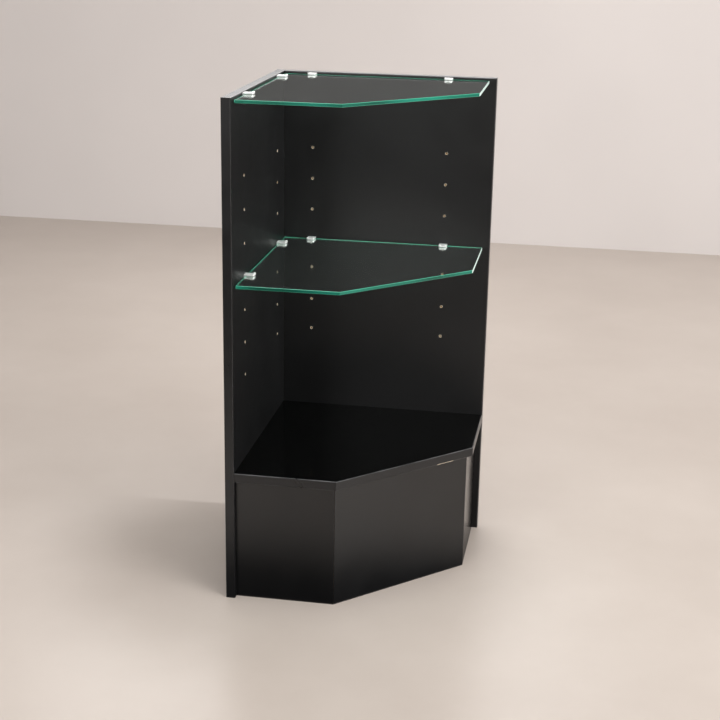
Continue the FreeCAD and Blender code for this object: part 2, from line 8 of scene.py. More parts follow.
import bmesh
import bpy
from bpy.props import FloatProperty, FloatVectorProperty, IntProperty, PointerProperty
from mathutils import Matrix, Vector
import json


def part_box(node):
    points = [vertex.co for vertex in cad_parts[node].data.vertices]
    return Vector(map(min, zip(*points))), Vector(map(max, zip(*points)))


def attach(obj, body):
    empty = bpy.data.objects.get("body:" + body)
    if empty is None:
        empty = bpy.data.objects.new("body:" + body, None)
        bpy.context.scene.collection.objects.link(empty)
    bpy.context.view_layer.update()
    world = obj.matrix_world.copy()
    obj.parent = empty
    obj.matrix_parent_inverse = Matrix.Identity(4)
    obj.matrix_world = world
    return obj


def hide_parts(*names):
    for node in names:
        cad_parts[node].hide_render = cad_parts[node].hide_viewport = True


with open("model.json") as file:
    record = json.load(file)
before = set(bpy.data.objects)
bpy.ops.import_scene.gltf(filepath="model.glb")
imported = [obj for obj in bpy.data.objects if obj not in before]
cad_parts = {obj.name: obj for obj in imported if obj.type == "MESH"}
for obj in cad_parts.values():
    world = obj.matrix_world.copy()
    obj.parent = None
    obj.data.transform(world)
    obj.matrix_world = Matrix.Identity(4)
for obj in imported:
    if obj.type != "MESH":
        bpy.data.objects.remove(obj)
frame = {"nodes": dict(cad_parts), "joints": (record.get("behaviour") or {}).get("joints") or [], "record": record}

bl_info = {
    "name": "Corner display case",
    "version": (1, 0, 0),
    "blender": (4, 5, 0),
    "location": "View3D > Sidebar > Display case",
    "description": "Dresses the corner display case: boards, edge bands, glass, clamp clips and screws",
    "category": "Object",
}

NODES = frame["nodes"]
MM = 0.001
DIAGONAL = math.sqrt(0.5)

# How close two points are that are one, and how close a point is that lies on a face
WELD = 0.002 * MM
TOUCH = 0.01 * MM

# What the frame says about the boards and the panes
LEFT_LOW, LEFT_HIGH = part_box("left_panel")
BACK_LOW, BACK_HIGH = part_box("back_panel")
BOARD = LEFT_HIGH.x - LEFT_LOW.x
INNER_X = LEFT_HIGH.x
INNER_Y = BACK_LOW.y
CLIP_NODES = [name for name in NODES if "_clip_" in name]
SCREW_NODES = [name for name in NODES if "_screw_" in name and name.split("_")[0] in ("top", "shelf")]
TIP_NODES = [name for name in NODES if "_tip_" in name]

# The way that each edge band's glued-on face looks away from its board
BANDS_OUTWARD = {
    "left_panel_front_band": (0, -1, 0),
    "left_panel_rear_band": (0, 1, 0),
    "left_panel_top_band": (0, 0, 1),
    "back_panel_top_band": (0, 0, 1),
    "back_panel_end_band": (1, 0, 0),
    "deck_band_left": (0, -1, 0),
    "deck_band_right": (1, 0, 0),
    "deck_band_diagonal": (DIAGONAL, -DIAGONAL, 0),
}

# The photograph was taken with a long lens from a little right of the middle, above the top pane.
CAMERA_PLACE = Vector((0.4487, -2.7194, 1.3090))
CAMERA_YAW = 9.488
CAMERA_PITCH = 17.684
CAMERA_ROLL = 1.024
CAMERA_LENS = 73.25
CAMERA_SENSOR = 36
CAMERA_SIGHT = 60

# The soft lights: where each one is, what it faces, its width and height, and the name of its power
CASE_MIDDLE = (0, 0, 0.5)
SOFTBOXES = {
    "ceiling_light": ((0.4, -0.6, 3.4), CASE_MIDDLE, (3.0, 3.0), "top_power"),
    "window_light": ((4.8, -3.1, 2.05), CASE_MIDDLE, (3.1, 2.5), "side_power"),
    "fill_light": ((-1.7, -3.8, 1.6), CASE_MIDDLE, (1.6, 1.6), "fill_power"),
    "rear_light": ((-0.6, 2.5, 2.05), (0, 0, 1.2), (2.4, 1.1), "rear_power"),
}

# Where the black cloth's dark patch, painted shade round the foot of the case, has its middle, and the spans of
# both cloths in X and Y
FOOT_SHADE_MIDDLE = (-0.16, -0.05, 0)
CARD_LEFT, CARD_RIGHT, CARD_FRONT, CARD_LIFT = -3, 1.5, -4.5, 2 * MM
FLAG_LEFT, FLAG_RIGHT, FLAG_BACK = -3, 2.5, 2.6

# Looks that several finishes share: the relief of a pressed or moulded skin, and bare chipboard
RELIEF = 0.05 * MM
RAW_ROUGHNESS = 0.85
# How much a rubbed patch of the facing is glossier or duller than the rest
RUBBED = 0.03
# A face whose normal is this close to a straight one is flat, not a rounded arris
FLAT_FACE = 0.97
# How upright the normal of a pane's arris is at least, and that of its flat faces
ARRIS_UPRIGHT = 0.3
PANE_UPRIGHT = 0.9
WASH_MM = 160

# Plain finishes: two tones, the width of their patches in mm, the roughness or the two values that
# it drifts between, what else the patches and the surface get. A user sets the stage's tones.
PLAIN = {
    # Satin nickel on a blasted zinc casting, whose skin scatters light, so it isn't wholly metallic
    "satin_nickel_on_zinc_casting": (("#ececeb", "#fbfbfa"), 1.5, (0.294, 0.588), {"Detail": 3.0},
                                     {"Metallic": 0.55}),
    # Nickel on a turned steel screw: glossier and wholly metallic
    "nickel_plated_steel_screw": (("#ececeb", "#f2f2f0"), 1.5, (0.238, 0.476), {"Detail": 3.0},
                                  {"Metallic": 1.0}),
    # Clear plasticised PVC, moulded: milky, with a satin skin
    "clear_soft_vinyl": (("#dfe6e4", "#f2f5f4"), 2.5, 0.32, {},
                         {"IOR": 1.52, "Transmission Weight": 0.75}),
    # Injection moulded polyethylene: dull black with a spark-eroded skin
    "moulded_black_cap": (("#161617", "#222224"), 0.4, 0.5, {}, {"IOR": 1.5}),
    # Melamine paper that a drill lifts and bruises: pale resin over tan fibre
    "drilled_melamine_rim": (("#e8d6b6", "#fff6e6"), 0.6, 0.8, {}, {"IOR": 1.5}),
    # Power-floated concrete under a satin sealer, which mirrors the case softly
    "sealed_pale_concrete": ((), 600, (0.28, 0.4), {"Detail": 6.0, "Roughness": 0.6}, {"IOR": 1.5}),
    # Matt emulsion on the wall: pale, without a shine
    "matt_wall_paint": ((), 900, 0.9, {}, {"IOR": 1.45}),
    # A photographer's grey cloth: a dull grey where a pane mirrors it
    "grey_flock_flag": ((), 400, 0.9, {}, {"IOR": 1.45}),
}

# Shares of a cap's radius at which its dome is measured
CAP_SHARES = (0.2, 0.4, 0.6, 0.75, 0.88)
# Profiles of screw heads, as shares of the head's radius and of its depth
PAN_HEAD = ((0.3, 0), (0.66, 0.08), (0.86, 0.25), (0.97, 0.55), (1, 0.85), (0.97, 1))
FLAT_HEAD = ((0.3, 0), (0.93, 0), (0.96, 0.06))


def linear(hex_colour):
    """An sRGB hex colour as linear red, green, blue and alpha."""
    parts = [int(hex_colour[start:start + 2], 16) / 255 for start in (1, 3, 5)]
    curve = [part / 12.92 if part <= 0.04045 else ((part + 0.055) / 1.055) ** 2.4 for part in parts]
    return (*curve, 1.0)


def patches(place, width_mm, **more):
    """The inputs of a texture with features this many millimetres wide, at a place."""
    return {"Vector": place, "Scale": 1 / (width_mm * MM), **more}


def feed(node, inputs):
    """Gives inputs of a node a value, or a link from a socket or from a node's first output in use."""
    for key, value in inputs.items():
        if isinstance(value, bpy.types.Node):
            value = next(output for output in value.outputs if output.enabled)
        if isinstance(value, bpy.types.NodeSocket):
            node.id_data.links.new(value, node.inputs[key])
        else:
            node.inputs[key].default_value = value


def add_node(tree, kind, inputs=(), **settings):
    """Adds a node, makes its settings and feeds its inputs. Materials give the kind by its last words."""
    node = tree.nodes.new(f"ShaderNode{kind}" if tree.type == "SHADER" else kind)
    for name, value in settings.items():
        setattr(node, name, value)
    feed(node, dict(inputs))
    return node


def new_material(name):
    """An empty named material, its tree, its surface shader, and the place of a point on the object."""
    material = bpy.data.materials.new(name)
    material.use_nodes = True
    tree = material.node_tree
    place = add_node(tree, "TexCoord").outputs["Object"]
    return material, tree, tree.nodes["Principled BSDF"], place


def paint(name, material):
    """Gives a CAD node its finish."""
    for slot in NODES[name].material_slots:
        slot.material = material


# Materials


def plain(name, *tones, relief=0.0):
    """One of the plain finishes, cloudy between its two tones, with a relief where its skin has one."""
    listed, patch_mm, roughness, noise, look = PLAIN[name]
    dark, light = tones or [linear(tone) for tone in listed]
    material, tree, shader, place = new_material(name)
    cloud = add_node(tree, "TexNoise", patches(place, patch_mm, **noise))
    colour = add_node(tree, "Mix", {0: cloud, 6: dark, 7: light}, data_type="RGBA")
    if isinstance(roughness, tuple):
        roughness = add_node(tree, "MapRange", {"Value": cloud, "To Min": roughness[0],
                                                "To Max": roughness[1]})
    if relief:
        bump = add_node(tree, "Bump", {"Height": cloud, "Strength": relief, "Distance": RELIEF})
        feed(shader, {"Normal": bump})
    feed(shader, {"Base Color": colour, "Roughness": roughness, **look})
    return material


def bare_where(bare, surface, tones, gloss, relief, ior):
    """Finishes a board or band: its skin's tone, gloss and relief, and the dull core where it is bare."""
    tree, shader = surface
    colour = add_node(tree, "Mix", {0: bare, 6: tones[0], 7: tones[1]}, data_type="RGBA")
    rough = add_node(tree, "Mix", {0: bare, 2: gloss, 3: RAW_ROUGHNESS})
    bump = add_node(tree, "Bump", {"Height": relief[0], "Strength": relief[1], "Distance": RELIEF})
    feed(shader, {"Base Color": colour, "Roughness": rough, "Normal": bump, "IOR": ior})


def faced_board(name, normal, middle, skin, look, sizes):
    """Particleboard faced on both sides with black melamine paper, pressed to a fine satin pearl.

    The eye gets a near-black face with a soft gloss that sharpens at a low angle. Wherever the board is
    cut or drilled, deeper than its skin, the core shows: bare tan chips, or black ink on a sanded
    mitre. The look is the facing's darker and lighter tone, its roughness and IOR, which is about 1.6
    for melamine resin, and the core's two tones.
    """
    dark, light, roughness, ior, core_dark, core_light = look
    material, tree, shader, place = new_material(name)
    across = add_node(tree, "VectorMath", {0: place, 1: normal}, operation="DOT_PRODUCT")
    off = add_node(tree, "Math", {0: across, 1: middle}, operation="SUBTRACT")
    depth = add_node(tree, "Math", {0: off}, operation="ABSOLUTE")
    raw = add_node(tree, "Math", {0: depth, 1: BOARD / 2 - skin}, operation="LESS_THAN")

    pearl, handling, fibre = [
        add_node(tree, "TexNoise", patches(place, width_mm, **more))
        for width_mm, more in (
            (sizes.pearl_mm, {"Detail": 0.5}),
            (sizes.handling_mm, {"Detail": 4.0, "Roughness": 0.6}),
            (sizes.chip_mm / 3, {"Detail": 3.0}),
        )
    ]
    gloss = add_node(tree, "MapRange", {"Value": handling, "From Min": 0.35, "From Max": 0.7,
                                        "To Min": roughness - RUBBED, "To Max": roughness + RUBBED})
    shade = add_node(tree, "Mix", {0: handling, 6: dark, 7: light}, data_type="RGBA")

    chips = add_node(tree, "TexVoronoi", patches(place, sizes.chip_mm))
    tint = add_node(tree, "SeparateColor", {0: chips.outputs["Color"]})
    core = add_node(tree, "Mix", {0: tint, 6: core_dark, 7: core_light}, data_type="RGBA")

    height = add_node(tree, "Mix", {0: raw, 2: pearl, 3: fibre})
    bare_where(raw, (tree, shader), (shade, core), gloss, (height, 0.25), ior)
    return material


def abs_edge_band(sizes):
    """ABS edge band, extruded and embossed with a fine grain, its arrises scraped round, with a painted highlight
    along them in patches like wear.

    The lower arris of the deck's diagonal band is chipped for a short way, down to the pale board.
    """
    material, tree, shader, place = new_material("abs_edge_band_black")
    grain = add_node(tree, "TexNoise", patches(place, sizes.grain_mm, Detail=3.0))
    rub = add_node(tree, "TexNoise", patches(place, sizes.handling_mm / 2, Detail=4.0))
    gloss = add_node(tree, "MapRange", {"Value": rub, "From Min": 0.3, "From Max": 0.7, "To Min": 0.27,
                                        "To Max": 0.34})
    black = add_node(tree, "Mix", {0: rub, 6: sizes.band_dark, 7: sizes.band_light}, data_type="RGBA")

    # The scraped arrises are what faces none of the ways that the flat faces of the bands do. Their paler tone, in
    # patches like wear, is a painted highlight.
    facing = add_node(tree, "NewGeometry").outputs["True Normal"]
    flat = 0.0
    for square_on in ((1, 0, 0), (0, 1, 0), (0, 0, 1), (DIAGONAL, -DIAGONAL, 0)):
        along_it = add_node(tree, "VectorMath", {0: facing, 1: square_on}, operation="DOT_PRODUCT")
        either_way = add_node(tree, "Math", {0: along_it}, operation="ABSOLUTE")
        flat = add_node(tree, "Math", {0: either_way, 1: flat}, operation="MAXIMUM")
    arris = add_node(tree, "Math", {0: flat, 1: FLAT_FACE}, operation="LESS_THAN")
    wear = add_node(tree, "MapRange", {"Value": rub, "From Min": 0.3, "From Max": 0.6})
    scraped = add_node(tree, "Math", {0: arris, 1: wear}, operation="MULTIPLY")
    edged = add_node(tree, "Mix", {0: scraped, 6: black, 7: sizes.band_arris_highlight_and_wear}, data_type="RGBA")

    # The chip is a short stretch along X, under a ragged line
    low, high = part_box("deck_band_diagonal")
    spot = add_node(tree, "SeparateXYZ", {0: place})
    middle = low.x + (high.x - low.x) * sizes.chip_place
    half = (high.x - low.x) * sizes.chip_length / 2
    along = add_node(tree, "Math", {0: spot.outputs["X"], 1: middle, 2: half}, operation="COMPARE")
    ragged = add_node(tree, "MapRange", {"Value": grain, "To Min": low.z + sizes.chip_high * 0.3,
                                         "To Max": low.z + sizes.chip_high * 1.7})
    under = add_node(tree, "Math", {0: spot.outputs["Z"], 1: ragged}, operation="LESS_THAN")
    broken = add_node(tree, "Math", {0: along, 1: under}, operation="MULTIPLY")
    bare_where(broken, (tree, shader), (edged, sizes.chip_light), gloss, (grain, 0.08), 1.52)
    return material


def float_glass(sizes):
    """Clear float glass with fire-polished faces: it bends and mirrors what is round it, and a faint
    film of wiping haze dulls it in patches.

    Rays from the lamps pass straight through, a little dimmed, so that the shelf lights what it covers.
    """
    material, tree, shader, place = new_material("clear_float_glass")
    smears = add_node(tree, "TexNoise", patches(place, sizes.smear_mm, Detail=1.5))
    haze = add_node(tree, "MapRange", {"Value": smears, "From Min": 0.5, "From Max": 0.8,
                                       "To Max": sizes.haze})
    feed(shader, {"Base Color": sizes.glass_tint, "Roughness": haze,
                  "Transmission Weight": sizes.face_clear, "IOR": 1.52})
    shadow = add_node(tree, "LightPath").outputs["Is Shadow Ray"]
    dimmed = add_node(tree, "BsdfTransparent", {"Color": sizes.lamp_tint})
    surface = add_node(tree, "MixShader", {0: shadow, 1: shader, 2: dimmed})
    feed(tree.nodes["Material Output"], {"Surface": surface})
    return material


def glass_edge(sizes):
    """The polished edge of float glass, green because light reaches it along the pane, with paler
    arrises. The short return edge is a painted highlight: pale, rougher and not see-through."""
    material, tree, shader, place = new_material("polished_glass_edge")
    low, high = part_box("glass_top")
    normal = add_node(tree, "NewGeometry").outputs["True Normal"]
    upright = add_node(tree, "SeparateXYZ", {0: normal}).outputs["Z"]
    either_way = add_node(tree, "Math", {0: upright}, operation="ABSOLUTE")
    plan = add_node(tree, "SeparateXYZ", {0: place})
    arris, by_left, by_back, ground = [
        add_node(tree, "Math", {0: measured, 1: limit}, operation=side)
        for measured, side, limit in (
            (either_way, "GREATER_THAN", ARRIS_UPRIGHT),
            (plan.outputs["X"], "LESS_THAN", low.x + MM),
            (plan.outputs["Y"], "GREATER_THAN", high.y - MM),
            (plan.outputs["X"], "GREATER_THAN", high.x - MM),
        )
    ]
    # The two rear edges, by the left and the back panel, get the pale arris tone: a painted highlight
    behind = add_node(tree, "Math", {0: by_left, 1: by_back}, operation="MAXIMUM")
    arrises_and_painted_rear_highlight = add_node(tree, "Math", {0: arris, 1: behind}, operation="MAXIMUM")
    wash = add_node(tree, "TexNoise", patches(place, WASH_MM, Detail=1.0))
    colour = add_node(tree, "MapRange", {"Value": wash, "From Min": 0.35, "From Max": 0.65})
    # The return edge's pale tone is a painted highlight; the same mask makes it rougher and not see-through
    for mask, under, over in ((colour, sizes.edge_dark, sizes.edge_light),
                              (arrises_and_painted_rear_highlight, None, sizes.edge_arris), (ground, None, sizes.edge_return_highlight)):
        colour = add_node(tree, "Mix", {0: mask, 6: under or colour, 7: over}, data_type="RGBA")
    roughness = add_node(tree, "Mix", {0: ground, 2: 0.16, 3: 0.45})
    clear = add_node(tree, "Mix", {0: ground, 2: sizes.edge_clear, 3: 0.0})
    feed(shader, {"Base Color": colour, "Roughness": roughness, "Transmission Weight": clear,
                  "IOR": 1.52})
    return material


def zinc_plated_steel():
    """Pressed steel with bright zinc plating: grey, slightly blue, with a soft crystalline mottle."""
    material, tree, shader, place = new_material("zinc_plated_steel")
    mottle = add_node(tree, "TexVoronoi", patches(place, 1.8), feature="SMOOTH_F1")
    colour = add_node(tree, "Mix", {0: mottle, 6: linear("#b9bcc0"), 7: linear("#d6d8da")},
                      data_type="RGBA")
    gloss = add_node(tree, "MapRange", {"Value": mottle, "To Min": 0.25, "To Max": 0.42})
    feed(shader, {"Base Color": colour, "Metallic": 1.0, "Roughness": gloss})
    return material


def planed_wood(name, grain_axis, ring_mm, light, dark):
    """Planed softwood or turned beech: rings drawn out along the grain, with fine pores."""
    material, tree, shader, place = new_material(name)
    stretch = [0.06 if axis == grain_axis else 1.0 for axis in range(3)]
    drawn = add_node(tree, "Mapping", {"Vector": place, "Scale": stretch})
    rings = add_node(tree, "TexWave", patches(drawn, ring_mm * 20, Distortion=5.0, Detail=3.0,
                                              **{"Detail Scale": 1.5}))
    pores = add_node(tree, "TexNoise", patches(drawn, 0.8, Detail=3.0))
    mixed = add_node(tree, "Math", {0: rings.outputs["Fac"], 1: pores}, operation="MULTIPLY")
    colour = add_node(tree, "Mix", {0: mixed, 6: linear(light), 7: linear(dark)}, data_type="RGBA")
    bump = add_node(tree, "Bump", {"Height": pores, "Strength": 0.3, "Distance": 0.1 * MM})
    feed(shader, {"Base Color": colour, "Roughness": 0.62, "Normal": bump, "IOR": 1.5})
    return material


def foot_shade_cloth(sizes):
    """A black cloth on the floor that only reflections show, mirrored by the glossy boards and the floor: its
    dark patch round the foot of the case is painted shade; it is open for the bright floor a step away, and dark
    again toward the camera."""
    material, tree, shader, place = new_material("black_flock_card")
    home = add_node(tree, "VectorMath", {0: place, 1: FOOT_SHADE_MIDDLE}, operation="DISTANCE")
    foot = add_node(tree, "MapRange", {"Value": home, "From Min": sizes.foot_shade_full,
                                       "From Max": sizes.foot_shade_end, "To Min": 1.0, "To Max": 0.0},
                    interpolation_type="SMOOTHSTEP")
    along = add_node(tree, "SeparateXYZ", {0: place})
    front = add_node(tree, "MapRange", {"Value": along.outputs["Y"], "From Min": -sizes.flag_near,
                                        "From Max": -sizes.flag_full, "To Max": sizes.flag_strength},
                     interpolation_type="SMOOTHSTEP")
    cover = add_node(tree, "Math", {0: foot, 1: front}, operation="MAXIMUM")
    feed(shader, {"Base Color": linear("#050505"), "Roughness": 0.9, "Alpha": cover, "IOR": 1.45})
    return material


# Mesh helpers


def add_object(name, data):
    """A new object in the scene."""
    made = bpy.data.objects.new(name, data)
    bpy.context.scene.collection.objects.link(made)
    return made


def as_seen(item):
    """The mesh that an object shows with its modifiers. The object itself goes."""
    seen = item.evaluated_get(bpy.context.evaluated_depsgraph_get())
    mesh = bpy.data.meshes.new_from_object(seen)
    bpy.data.objects.remove(item)
    return mesh


def welded(node):
    """A CAD node's shape with its loose triangles joined."""
    shape = bmesh.new()
    shape.from_mesh(NODES[node].data)
    bmesh.ops.remove_doubles(shape, verts=shape.verts, dist=WELD)
    return shape


def merged_copy(node):
    """A CAD node's shape as one clean mesh, with its flat faces whole."""
    shape = welded(node)
    bmesh.ops.dissolve_limit(shape, angle_limit=math.radians(0.5), verts=shape.verts, edges=shape.edges)
    return shape


def islands(node):
    """The points of each separate solid in a CAD node."""
    shape = welded(node)
    left = set(shape.verts)
    solids = []
    while left:
        reach = [left.pop()]
        found = []
        while reach:
            vertex = reach.pop()
            found.append(vertex.co.copy())
            for edge in vertex.link_edges:
                other = edge.other_vert(vertex)
                if other in left:
                    left.remove(other)
                    reach.append(other)
        solids.append(found)
    shape.free()
    return sorted(solids, key=lambda points: [round(value, 5) for value in corners(points)[0]])


def corners(points):
    """The lowest and the highest corner of the box round some points."""
    low = Vector([min(point[axis] for point in points) for axis in range(3)])
    high = Vector([max(point[axis] for point in points) for axis in range(3)])
    return low, high


def finish_piece(name, mesh, material, body, slot, *nodes):
    """Makes an object of a mesh, gives it its finish, hangs it on its body and hides what it stands for."""
    if not mesh.materials:
        mesh.materials.append(material)
    piece = add_object(name, mesh)
    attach(piece, body)
    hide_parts(*nodes)
    return piece


def mesh_of(shape, name):
    """Turns an edited shape into a mesh and lets the shape go."""
    mesh = bpy.data.meshes.new(name)
    shape.to_mesh(mesh)
    shape.free()
    return mesh


def ease(shape, edges, radius, segments):
    """Rounds chosen edges of a shape."""
    bmesh.ops.bevel(shape, geom=edges, offset=radius, segments=segments, profile=0.5, affect="EDGES",
                    clamp_overlap=True)


def join_rings(shape, rings):
    """Joins each ring of points to the next with a band of faces."""
    for upper, lower in zip(rings, rings[1:]):
        for index in range(len(upper)):
            after = (index + 1) % len(upper)
            shape.faces.new((upper[index], lower[index], lower[after], upper[after]))


def turned(name, rows, around, thread=None):
    """A mesh turned about Z from rows of radius and height, the first and last row closed with a face.

    A thread is its pitch, its depth, and the heights that it runs between: a helix cut into the rows.
    """
    shape = bmesh.new()
    rings = []
    for radius, height in rows:
        ring = []
        for index in range(around):
            turn = index / around
            out = radius
            if thread and thread[3] < height < thread[2]:
                phase = (height / thread[0] - turn) % 1
                out = radius - thread[1] * abs(2 * phase - 1)
            ring.append(shape.verts.new((out * math.cos(math.tau * turn),
                                         out * math.sin(math.tau * turn), height)))
        rings.append(ring)
    join_rings(shape, rings)
    shape.faces.new(rings[0])
    shape.faces.new(list(reversed(rings[-1])))
    bmesh.ops.recalc_face_normals(shape, faces=shape.faces)
    return mesh_of(shape, name)


def cut_cross(mesh, arm, width, depth):
    """Sinks a cross recess, narrower at its bottom, into the face that a turned part has at z = 0."""
    body = add_object("turned_body", mesh)
    bars = []
    for across in (False, True):
        shape = bmesh.new()
        levels = []
        for height, long, wide in ((0.2 * MM, arm, width), (-depth, arm * 0.45, width * 0.6)):
            plan = [(-long, -wide), (long, -wide), (long, wide), (-long, wide)]
            levels.append([shape.verts.new((y, x, height) if across else (x, y, height))
                           for x, y in plan])
        shape.faces.new(levels[0])
        shape.faces.new(list(reversed(levels[1])))
        join_rings(shape, levels)
        bmesh.ops.recalc_face_normals(shape, faces=shape.faces)
        bars.append(add_object("cross_bar", mesh_of(shape, "cross_bar")))
        sink = body.modifiers.new("Sink", "BOOLEAN")
        sink.operation = "DIFFERENCE"
        sink.object = bars[-1]
        sink.solver = "EXACT"
    cut = as_seen(body)
    for bar in bars:
        bpy.data.objects.remove(bar)
    shade(cut, 40)
    return cut


def shade(mesh, angle):
    """Shades a mesh smooth, save where its faces turn by more than an angle in degrees."""
    for polygon in mesh.polygons:
        polygon.use_smooth = True
    mesh.set_sharp_from_angle(angle=math.radians(angle))


def repeat_tree(name):
    """A tree that sets a part on each point of its input, turned by the point's own "turn"."""
    tree = bpy.data.node_groups.new(name, "GeometryNodeTree")
    tree.is_modifier = True
    for label, kind in (("Places", "Geometry"), ("Part", "Object"), ("Finish", "Material"),
                        ("Size", "Float")):
        tree.interface.new_socket(label, in_out="INPUT", socket_type=f"NodeSocket{kind}")
    tree.interface.new_socket("Geometry", in_out="OUTPUT", socket_type="NodeSocketGeometry")
    given = add_node(tree, "NodeGroupInput").outputs
    part = add_node(tree, "GeometryNodeObjectInfo", {"Object": given["Part"]})
    turn = add_node(tree, "GeometryNodeInputNamedAttribute", {"Name": "turn"}, data_type="FLOAT_VECTOR")
    placed = add_node(tree, "GeometryNodeInstanceOnPoints",
                      {"Points": given["Places"], "Instance": part.outputs["Geometry"],
                       "Rotation": turn.outputs["Attribute"], "Scale": given["Size"]})
    real = add_node(tree, "GeometryNodeRealizeInstances", {0: placed.outputs["Instances"]})
    dressed = add_node(tree, "GeometryNodeSetMaterial", {"Geometry": real.outputs[0],
                                                         "Material": given["Finish"]})
    add_node(tree, "NodeGroupOutput", {0: dressed.outputs[0]})
    return tree


def repeated(name, part_mesh, places, material):
    """A plain mesh of one part set at each place, a point and its turn in radians about X, Y and Z."""
    part = bpy.data.objects.new(f"{name}_part", part_mesh)
    points = bpy.data.meshes.new(f"{name}_places")
    points.from_pydata([tuple(point) for point, _ in places], [], [])
    turns = points.attributes.new("turn", "FLOAT_VECTOR", "POINT")
    for index, (_, turn) in enumerate(places):
        turns.data[index].vector = turn
    holder = add_object(f"{name}_holder", points)
    tree = repeat_tree(f"{name}_repeat")
    modifier = holder.modifiers.new("Repeat", "NODES")
    modifier.node_group = tree
    values = {"Part": part, "Finish": material, "Size": 1.0}
    for item in tree.interface.items_tree:
        if item.name in values:
            modifier[item.identifier] = values[item.name]
    mesh = as_seen(holder)
    mesh.name = name
    bpy.data.objects.remove(part)
    return mesh


# Sizes and colours that a user would change


def number(name, description, value, **kind):
    """A number that a user can set. A length is in metres, a share a part of one, a power in watts."""
    return FloatProperty(name=name, description=description, default=value, **kind)


length = partial(number, unit="LENGTH")
share = partial(number, subtype="FACTOR")
power = partial(number, unit="POWER")


def tone(name, description, hex_colour):
    """A colour that a user can set."""
    return FloatVectorProperty(name=name, description=description, size=4, subtype="COLOR",
                               default=linear(hex_colour))


class BoardSizes(bpy.types.PropertyGroup):
    """Sizes and colours of the boards and their bands."""

    paper: length("Facing", "Thickness of the melamine facing", 0.3 * MM)
    mitre_skin: length("Mitre skin", "Depth that stays black on the front board", 1.2 * MM)
    ink: tone("Mitre ink", "Ink wiped over the sanded mitres", "#020202")
    pearl_mm: number("Pearl", "Width of a bump of the pressed texture, mm", 2.4)
    handling_mm: number("Handling marks", "Width of a rubbed patch, mm", 90)
    chip_mm: number("Chip", "Width of a chip in the core, mm", 1.6)
    grain_mm: number("Band grain", "Width of a grain of the band, mm", 0.7)
    chip_place: share("Band chip", "Where the diagonal band is chipped", 0.79)
    chip_length: share("Band chip length", "Its share of the band's length", 0.12)
    chip_high: length("Band chip height", "How high the chip reaches", 1.3 * MM)
    mitre_round: length("Mitre arris", "Radius sanded on a mitred corner", 0.9 * MM)
    band_round: length("Band arris", "Radius scraped on a band's outer edges", 1.7 * MM)
    rim_out: length("Drilled rim", "Width of the bruised ring round a hole", 0.4 * MM)
    rim_high: length("Drilled rim rise", "Rise of the bruised ring", 0.06 * MM)
    rim_deep: length("Drilled rim depth", "How far its lip turns into the hole", 2.5 * MM)
    face_roughness: share("Face roughness", "Mean roughness of the facing", 0.4)
    deck_roughness: share("Deck roughness", "Roughness of the rubbed deck", 0.18)
    kick_roughness: share("Base roughness", "Roughness of the base boards", 0.31)
    return_roughness: share("Return roughness", "Roughness of the base board on the right", 0.18)
    resin: number("Resin IOR", "Refractive index of the melamine facing", 1.6)
    wiped_resin: number("Back IOR", "Refractive index of the back's wiped facing", 1.5)
    dull_resin: number("Deck IOR", "Refractive index of the deck's worn facing", 1.38)
    kick_dark: tone("Base, dark", "Darker tone of the base boards", "#060607")
    kick_light: tone("Base, light", "Lighter tone of the base boards", "#0b0b0c")
    back_dark: tone("Back, dark", "Darker tone of the back panel", "#060607")
    back_light: tone("Back, light", "Lighter tone of the back panel", "#0b0b0c")
    # The deck's tones are darker than the other boards' facing of the same black melamine: painted shade
    deck_dark: tone("Deck, dark", "Darker tone of the deck's facing", "#020202")
    deck_light: tone("Deck, light", "Lighter tone of the deck's facing", "#050505")
    face_dark: tone("Facing, dark", "Darker tone of the facing", "#09090a")
    face_light: tone("Facing, light", "Lighter tone of the facing", "#0e0e0f")
    chip_dark: tone("Chips, dark", "Darker chips of the core", "#dcc096")
    chip_light: tone("Chips, light", "Lighter chips of the core", "#fff0d8")
    band_dark: tone("Band, dark", "Darker tone of the edge band", "#0c0c0d")
    band_light: tone("Band, light", "Lighter tone of the edge band", "#161617")
    # The paler tone of the band arrises is a painted highlight, broken into patches like wear
    band_arris_highlight_and_wear: tone("Band, scraped", "Tone of its scraped arrises", "#5a5a5c")


class GlassSizes(bpy.types.PropertyGroup):
    """Colours and clearness of the panes."""

    glass_tint: tone("Glass", "Tint of the pane's faces", "#f4fbf8")
    edge_dark: tone("Edge, dark", "Darker green of the edge", "#0b5443")
    edge_light: tone("Edge, light", "Lighter green of the edge", "#23927a")
    # On the two rear edges this tone is a painted highlight
    edge_arris: tone("Edge, arris", "Colour of the ground arrises", "#5cc4a5")
    # The return edge's pale tone is a painted highlight
    edge_return_highlight: tone("Edge, ground", "Colour of the return edge, left ground and pale", "#cfe6de")
    edge_clear: share("Edge clearness", "Share of light let through the edge", 0.25)
    lamp_tint: tone("Lamp light", "What a face lets through of a lamp", "#f2f8f5")
    face_clear: share("Face clearness", "What the film of dust leaves clear", 0.995)
    smear_mm: number("Smears", "Width of a patch of haze, mm", 45)
    haze: number("Haze", "Roughness of the haziest patch", 0.03)


